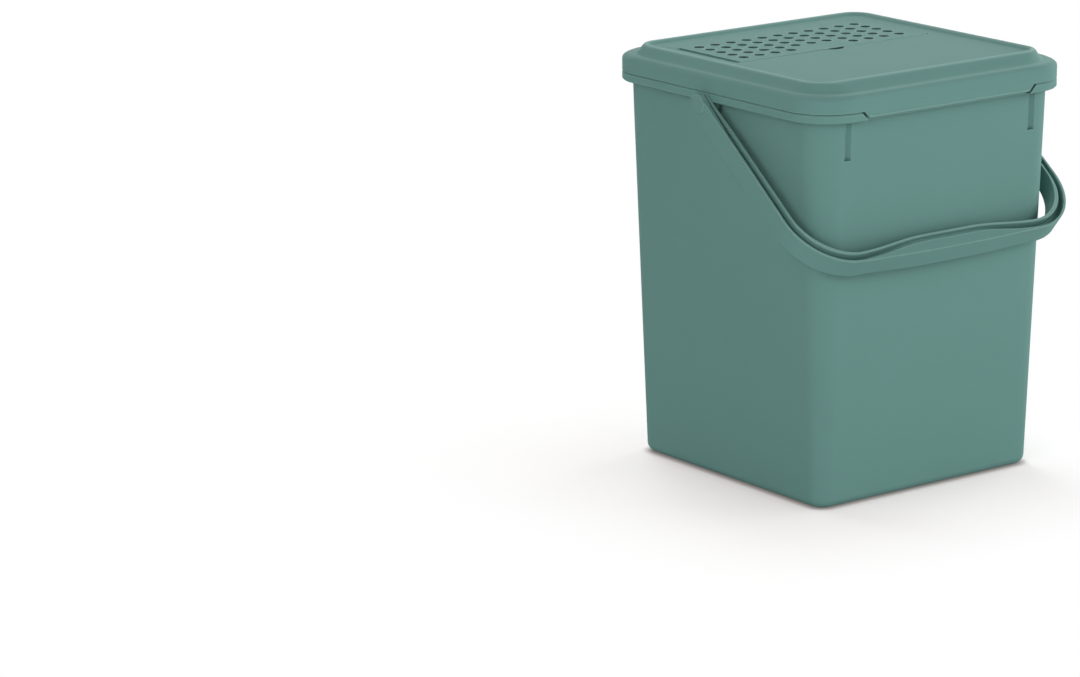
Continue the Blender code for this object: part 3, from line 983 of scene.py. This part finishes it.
def addNode(tree, kind, settings=None, output=0, **values):
    # inputs are given by name, or by number as in _0
    node = tree.nodes.new("ShaderNode" + kind)
    for name, value in (settings or {}).items():
        setattr(node, name, value)
    for name, value in values.items():
        key = int(name[1:]) if name[0] == "_" else name.replace("_", " ")
        if isinstance(value, Node):
            tree.links.new(value.socket, node.inputs[key])
        else:
            node.inputs[key].default_value = value
    return Node(tree, node.outputs[output])


def newMaterial(name, roughness=0.5):
    material = bpy.data.materials.new(name)
    material.use_nodes = True
    tree = material.node_tree
    shader = tree.nodes["Principled BSDF"]
    shader.inputs["Roughness"].default_value = roughness
    return material, tree, shader, addNode(tree, "TexCoord", output="Object")


def noise(tree, spot, scale, detail, roughness):
    return addNode(tree, "TexNoise", Vector=spot, Scale=scale, Detail=detail, Roughness=roughness)


def ramp(tree, value, low, high, start=0.0, end=1.0, shape="LINEAR"):
    # turns what lies between two levels into what lies between two results
    return addNode(tree, "MapRange", {"interpolation_type": shape}, _0=value, _1=low,
                   _2=high, _3=start, _4=end)


def blend(tree, share, first, second):
    # mixes two colours, of which the first may be a node
    first = first if isinstance(first, Node) else (*first, 1)
    return addNode(tree, "Mix", {"data_type": "RGBA"}, 2, _0=share, _6=first, _7=(*second, 1))


def bump(tree, height, strength, distance, **under):
    return addNode(tree, "Bump", Strength=strength, Distance=distance, Height=height, **under)


def openness(tree, reach, inside):
    # how open a place is to rays, sent out of the solid or into it
    return addNode(tree, "AmbientOcclusion", {"samples": 8, "inside": inside, "only_local": True}, 1,
                   Distance=reach)


plastic = {
    "color": (0.138, 0.275, 0.2515),
    "dark": (0.130, 0.259, 0.2365),
    "paintedHighlight": (0.195, 0.345, 0.318),  # painted highlight along the edges
    "hollow": (0.070, 0.150, 0.137),  # painted shade down in the flutes and other hollows
    "cloudy": (11.0, 3.0, 0.6),  # scale, detail and roughness of this noise and the next three
    "scuffs": (70.0, 5.0, 0.65),
    "grain": (1300.0, 2.0, 0.5),
    "ripple": (26.0, 1.0, 0.4),
    "grainBump": (0.2, 0.00006),  # strength and distance
    "rippleBump": (0.12, 0.0003),
    "specular": 0.045,
    "roughness": 0.62,
    "roughShifts": (0.06, 0.12, 0.08),  # less everywhere, more by scuffs, less along the painted highlights
    "edgeReach": 0.0008,
    "scuffedHighlight": (0.7, 0.6),  # strength of the painted edge highlight where there are no scuffs, and what scuffs add
    # strength of the painted edge highlight on the bucket and lid, and on the bail
    "edgeHighlightStrength": 3.0,
    "bailHighlight": 4.5,
    "bailStart": 0.002,  # how far under the bail's middle its painted highlight sets in
    "bailFade": 0.003,  # and over which height
    "bailTopHighlight": (0.0005, 0.7),  # reach and strength of the painted highlight on its upper edges
    "crestHighlight": (0.0011, 1.2),  # the same for the painted highlights along the lid's crest, edge and lip
    "edgeRingHighlight": (0.0005, 0.5),
    "lipHighlight": (0.0009, 0.6),
    "edgeLift": 0.0001,  # how far over the edge ring's top its painted highlight lies
    # reach and strength of the painted shade in creases and hollows
    "paintedShadeReach": 0.0028,
    "paintedShadeStrength": 4.4,
}


def makePlastic(name, edgeHighlightStrength, highlightBands=(), paintedShadeStrength=0.0, upper=None):
    material, tree, shader, spot = newMaterial(name, plastic["roughness"])
    shader.inputs["Specular IOR Level"].default_value = plastic["specular"]
    scuffs = noise(tree, spot, *plastic["scuffs"])
    body = blend(tree, noise(tree, spot, *plastic["cloudy"]), plastic["color"], plastic["dark"])

    # a painted highlight lies along the outer edges, which are where rays sent into the solid soon meet
    # another face
    least, added = plastic["scuffedHighlight"]
    paintedHighlight = (1.0 - openness(tree, plastic["edgeReach"], True)) * edgeHighlightStrength * (least + added * scuffs)
    # on the bail the painted highlight is kept to its upper half, where light falls from above, and a
    # painted highlight band runs along its top edges
    if upper:
        direction, start, top = upper
        fade, (rim, strength) = plastic["bailFade"], plastic["bailTopHighlight"]
        along = addNode(tree, "VectorMath", {"operation": "DOT_PRODUCT"}, 1, _0=spot, _1=direction)
        paintedHighlight = paintedHighlight * ramp(tree, along, start, start + fade)
        paintedHighlight = paintedHighlight + ramp(tree, along, top, top + rim, 0.0, strength)
    # painted highlight bands at given heights, along the lid's crest, edge ring and lip
    if highlightBands:
        height = addNode(tree, "SeparateXYZ", None, "Z", _0=spot)
    for level, (reach, strength) in highlightBands:
        paintedHighlight = paintedHighlight + ramp(tree, (height - level).size(), reach, 0.0, 0.0, strength)
    paintedHighlight = paintedHighlight.clamp()
    color = blend(tree, paintedHighlight, body, plastic["paintedHighlight"])
    # painted shade in creases and hollows, where rays sent outwards soon meet a face
    if paintedShadeStrength:
        hollow = ((1.0 - openness(tree, plastic["paintedShadeReach"], False)) * paintedShadeStrength).clamp()
        color = blend(tree, hollow, color, plastic["hollow"])
    color.into(shader, "Base Color")
    everywhere, byScuffs, byHighlight = plastic["roughShifts"]
    rough = plastic["roughness"] - everywhere + scuffs * byScuffs - paintedHighlight * byHighlight
    rough.into(shader, "Roughness")
    grain = bump(tree, noise(tree, spot, *plastic["grain"]), *plastic["grainBump"])
    ripple = bump(tree, noise(tree, spot, *plastic["ripple"]), *plastic["rippleBump"], Normal=grain)
    ripple.into(shader, "Normal")
    return material


felt = {
    "dark": (0.012, 0.015, 0.015),
    "pale": (0.040, 0.048, 0.047),
    "fibres": (900.0, 5.0, 0.7),  # scale, detail and roughness
    "fibreBump": (0.6, 0.0006),
    "roughness": 0.95,
}


def makeFelt(name):
    material, tree, shader, spot = newMaterial(name, felt["roughness"])
    fibres = noise(tree, spot, *felt["fibres"])
    blend(tree, fibres, felt["dark"], felt["pale"]).into(shader, "Base Color")
    bump(tree, fibres, *felt["fibreBump"]).into(shader, "Normal")
    return material


sagePlastic = makePlastic("sagePolypropylene", plastic["edgeHighlightStrength"], paintedShadeStrength=plastic["paintedShadeStrength"])
lipFoot = lidSeat - lid["lip"][1] + lid["lipRoll"]
lidPlastic = makePlastic("sagePolypropyleneLid", plastic["edgeHighlightStrength"], (
    (crestTop, plastic["crestHighlight"]), (edgeTop + plastic["edgeLift"], plastic["edgeRingHighlight"]),
    (lipFoot, plastic["lipHighlight"])))

# the bail gets painted highlights on its upper half, as it hangs, where light falls from above
hangAngle = math.radians(handle["hang"])
pivotY, pivotZ = shared["pivot"]
armUp = (0.0, -math.sin(hangAngle), math.cos(hangAngle))
armMiddle = pivotY * armUp[1] + pivotZ * armUp[2]
bailPlastic = makePlastic("sagePolypropyleneBail", plastic["bailHighlight"],
                          upper=(armUp, armMiddle - plastic["bailStart"], armMiddle + handle["depth"] / 2))
blackFelt = makeFelt("carbonFelt")
for piece, finishMaterial in ((bucketBody, sagePlastic), (lidShell, lidPlastic), (ventCover, lidPlastic),
                              (carryHandle, bailPlastic), (filterPad, blackFelt)):
    piece.data.materials.clear()
    piece.data.materials.append(finishMaterial)
place(bucketBody, "bucket", "bucket")
place(lidShell, "lid", "lid")
place(ventCover, "vent_cover", "vent_cover")
place(filterPad, "lid", "carbon_filter")
place(carryHandle, "carry_handle", "carry_handle")
print("materials and bodies set")


# floor, light and camera
studio = {
    "floorSize": 30,
    "floorColor": (0.8, 0.8, 0.8, 1),
    "nearFloor": (0.90, 0.985, 0.985, 1),  # what the camera sees under the bin, with a glow added
    "nearGlow": (0.26, 0.165, 0.16, 1),
    "shadeMiddle": (0.03, 0.0, 0.0),  # the shade on the floor lies a little to the left
    "shadeReach": (0.105, 0.095, 0.0),
    "fade": (-0.02, 0.15),  # distances from there over which the floor turns plain white
    "paintedShadowColor": (0.085, 0.075, 0.069, 1),  # painted contact shadow, the dark line where the bin meets the floor
    "paintedShadowReach": (0.080, 0.081, 0.0),
    "paintedShadowFade": (0.006, 0.0165),
    "paintedShadowShare": 0.85,
    "lampAim": (0.0, 0.0, 0.15),
    "lamps": {  # place, size and power
        "keyLamp": ((1.1, -1.9, 1.7), 1.6, 6.9),
        "frontLamp": ((0.2, -2.6, 0.95), 1.6, 20.0),
        "leftFrontLamp": ((-2.2, -1.2, 0.8), 1.5, 27.9),
        "leftLamp": ((-2.0, 0.3, 2.0), 1.8, 11.0),
        "rightFrontLamp": ((2.4, -1.4, 0.7), 1.6, 30.8),
        "rightLamp": ((2.6, 0.2, 1.1), 1.8, 32.8),
        "rearHighLamp": ((0.2, 1.9, 2.3), 2.0, 43.5),
        "rearRightLamp": ((2.2, 1.9, 1.4), 2.0, 13.8),
    },
    "lens": 141.807,
    "sensor": 36.0,
    "farEnd": 50.0,
    "eye": (-1.7807, -2.0674, 0.7838),
    "forward": (0.57784, 0.77704, -0.24962),
    "roll": -0.467,
}


def seenWhite(tree):
    # the background is white to the camera, through glass and in reflections
    camera, through, glossy = [addNode(tree, "LightPath", output=name) for name in
                               ("Is Camera Ray", "Is Transmission Ray", "Is Glossy Ray")]
    return (camera + through + glossy).clamp()


def outsideBox(tree, spot, reach):
    # how far a place on the floor is from a rectangle around the middle
    sized = addNode(tree, "VectorMath", {"operation": "ABSOLUTE"}, _0=spot)
    past = addNode(tree, "VectorMath", {"operation": "SUBTRACT"}, _0=sized, _1=reach)
    outside = addNode(tree, "VectorMath", {"operation": "MAXIMUM"}, _0=past, _1=(0.0, 0.0, 0.0))
    return addNode(tree, "VectorMath", {"operation": "LENGTH"}, 1, _0=outside)


def makeFloor():
    freshStart()
    bpy.ops.mesh.primitive_plane_add(size=studio["floorSize"], location=(0, 0, 0))
    floor = bpy.context.object
    floor.name = "floor"
    material, tree, shader, spot = newMaterial("paleFloor")
    tree.nodes.remove(shader)
    moved = addNode(tree, "VectorMath", {"operation": "ADD"}, _0=spot, _1=studio["shadeMiddle"])
    away = outsideBox(tree, moved, studio["shadeReach"])
    fade = ramp(tree, away, *studio["fade"], shape="SMOOTHSTEP")
    # a painted contact shadow: a dark emission mixed into the floor near the bin's foot
    paintedShadowMask = ramp(tree, outsideBox(tree, spot, studio["paintedShadowReach"]), *studio["paintedShadowFade"],
                 studio["paintedShadowShare"], 0.0, "SMOOTHSTEP")
    plain = addNode(tree, "BsdfDiffuse", Color=studio["floorColor"])
    lit = addNode(tree, "BsdfDiffuse", Color=studio["nearFloor"])
    glow, white, deep = [addNode(tree, "Emission", Color=color, Strength=1.0) for color in
                         (studio["nearGlow"], (1, 1, 1, 1), studio["paintedShadowColor"])]
    under = addNode(tree, "AddShader", _0=lit, _1=glow)
    under = addNode(tree, "MixShader", _0=paintedShadowMask, _1=under, _2=deep)
    shown = addNode(tree, "MixShader", _0=fade, _1=under, _2=white)
    whole = addNode(tree, "MixShader", _0=seenWhite(tree), _1=plain, _2=shown)
    whole.into(tree.nodes["Material Output"], "Surface")
    floor.data.materials.append(material)


def makeStudio():
    makeFloor()
    world = bpy.data.worlds.new("studio")
    bpy.context.scene.world = world
    world.use_nodes = True
    tree = world.node_tree
    background = tree.nodes["Background"]
    background.inputs["Color"].default_value = (1, 1, 1, 1)
    seenWhite(tree).into(background, "Strength")

    for name, (spot, size, power) in studio["lamps"].items():
        freshStart()
        bpy.ops.object.light_add(type="AREA", location=spot)
        lamp = bpy.context.object
        lamp.name = name
        lamp.data.size = size
        lamp.data.energy = power
        aim = Vector(studio["lampAim"]) - Vector(spot)
        lamp.rotation_euler = aim.to_track_quat("-Z", "Y").to_euler()

    forward = Vector(studio["forward"]).normalized()
    right = forward.cross(Vector((0, 0, 1))).normalized()
    up = right.cross(forward)
    roll = math.radians(studio["roll"])
    across = right * math.cos(roll) + up * math.sin(roll)
    above = up * math.cos(roll) - right * math.sin(roll)
    freshStart()
    bpy.ops.object.camera_add()
    camera = bpy.context.object
    camera.matrix_world = Matrix((across, above, -forward)).transposed().to_4x4()
    camera.location = studio["eye"]
    camera.data.lens = studio["lens"]
    camera.data.sensor_width = studio["sensor"]
    camera.data.clip_end = studio["farEnd"]
    bpy.context.scene.camera = camera


makeStudio()
bpy.context.scene.view_settings.view_transform = "Standard"
print("studio ready")
